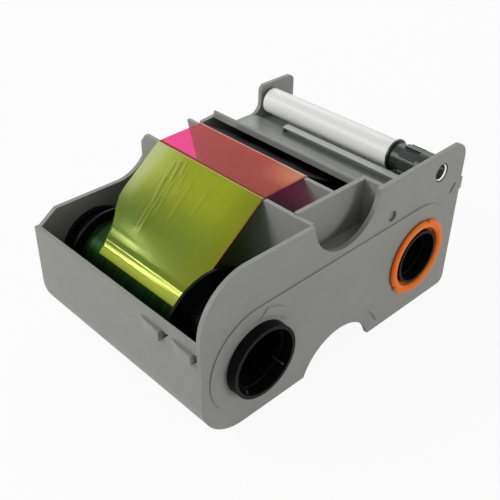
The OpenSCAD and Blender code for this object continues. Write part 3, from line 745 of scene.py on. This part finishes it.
FINISHES = {
    "frame_grey": GREY, "core_black": CORE_BLACK, "hub_black": HUB_BLACK, "collar_orange": ORANGE,
    "wrap_white": WRAP, "sleeve_grey": SLEEVE, "roll_green": ROLL_GREEN, "roll_dark": ROLL_DARK,
    "film_yellow": YELLOW, "film_magenta": MAGENTA, "film_dark": DARK_FILM,
}
for row in frame["record"]["subparts"]:
    mesh = nodes[row["node"]].data
    mesh.materials.clear()
    mesh.materials.append(DECK if row["node"] == "roller_deck" else FINISHES[row["material_slot"]])

yellow_panel()
magenta_panel()
supply_panel()
grip_hub()
collar_ring()
sight_ring()
mouth_ribs()


# ---- floor, light and camera ----

def bright_floor():
    """Pale floor whose seen colour is white less a soft share of its shadow."""
    f = Finish("pale_floor")
    path = f.tree.nodes.new("ShaderNodeLightPath")
    seen = [Socket(f, path.outputs[n]) for n in ("Is Camera Ray", "Is Glossy Ray", "Is Transmission Ray")]
    lit = f.node("ShaderNodeBsdfDiffuse", None, {"Color": (0.8, 0.8, 0.8, 1)})
    glow = f.node("ShaderNodeEmission", None, {"Color": (1, 1, 1, 1), "Strength": 1.0})
    share = (seen[0] + seen[1] + seen[2]).maths("MINIMUM", 1.0) * 0.93
    return f.done(f.node("ShaderNodeMixShader", None, {0: share, 1: lit, 2: glow}))


def floor():
    """A level square of 6 m just under the base."""
    reach, under = 3, -0.0003
    corners = [(x * reach, y * reach, under) for x, y in ((-1, -1), (1, -1), (1, 1), (-1, 1))]
    mesh = bpy.data.meshes.new("floor")
    mesh.from_pydata(corners, [], [(0, 1, 2, 3)])
    mesh.materials.append(bright_floor())
    piece = bpy.data.objects.new("floor", mesh)
    bpy.context.scene.collection.objects.link(piece)


def soft_light(name, place, aim, width, height, power):
    """A flat area light of that width and height in metres, turned to its aim."""
    lamp = bpy.data.lights.new(name, "AREA")
    lamp.shape, lamp.size, lamp.size_y, lamp.energy = "RECTANGLE", width, height, power
    made = bpy.data.objects.new(name, lamp)
    made.location = place
    made.rotation_euler = (Vector(aim) - Vector(place)).to_track_quat("-Z", "Y").to_euler()
    bpy.context.scene.collection.objects.link(made)


def sky(level):
    """An even white world: level for the light that it gives, and 1 where it is seen or mirrored."""
    world = bpy.data.worlds.new("studio")
    world.use_nodes = True
    tree = world.node_tree
    tree.nodes.clear()
    path = tree.nodes.new("ShaderNodeLightPath")
    dim, white = tree.nodes.new("ShaderNodeBackground"), tree.nodes.new("ShaderNodeBackground")
    for background, strength in ((dim, level), (white, 1.0)):
        background.inputs["Color"].default_value = (1, 1, 1, 1)
        background.inputs["Strength"].default_value = strength
    mix, out = tree.nodes.new("ShaderNodeMixShader"), tree.nodes.new("ShaderNodeOutputWorld")
    seen = tree.nodes.new("ShaderNodeMath")
    seen.operation = "MAXIMUM"
    tree.links.new(path.outputs["Is Camera Ray"], seen.inputs[0])
    tree.links.new(path.outputs["Is Glossy Ray"], seen.inputs[1])
    tree.links.new(seen.outputs[0], mix.inputs[0])
    tree.links.new(dim.outputs[0], mix.inputs[1])
    tree.links.new(white.outputs[0], mix.inputs[2])
    tree.links.new(mix.outputs[0], out.inputs[0])
    bpy.context.scene.world = world


def camera():
    """The camera: its place, its view axis by azimuth 45.52 and elevation 35.21 degrees, its roll."""
    lens = bpy.data.cameras.new("camera")
    lens.lens, lens.sensor_width, lens.clip_start = 57.251, 36.0, 0.01
    made = bpy.data.objects.new("camera", lens)
    axis = Vector((-0.5829397, 0.5724472, -0.5766156))
    turn = axis.to_track_quat("-Z", "Y").to_matrix() @ Matrix.Rotation(radians(1.0667), 3, "Z")
    made.matrix_world = Matrix.Translation((0.191363, -0.191779, 0.217838)) @ turn.to_4x4()
    bpy.context.scene.collection.objects.link(made)
    bpy.context.scene.camera = made


floor()
sky(0.29)
soft_light("front", (-0.48, -0.94, 0.575), (0, 0, 0.03), 0.45, 0.45, 4.9)
soft_light("window", (-0.713, -0.62, 0.655), (0, 0, 0.04), 0.22, 0.09, 1.7)
soft_light("right", (1.1, 0.32, 0.14), (0, 0, 0.03), 0.4, 0.4, 4.0)
soft_light("rear", (-0.74, 0.72, 0.78), (0, 0, 0.04), 0.7, 0.7, 3.9)
camera()
bpy.context.scene.view_settings.view_transform = "Standard"
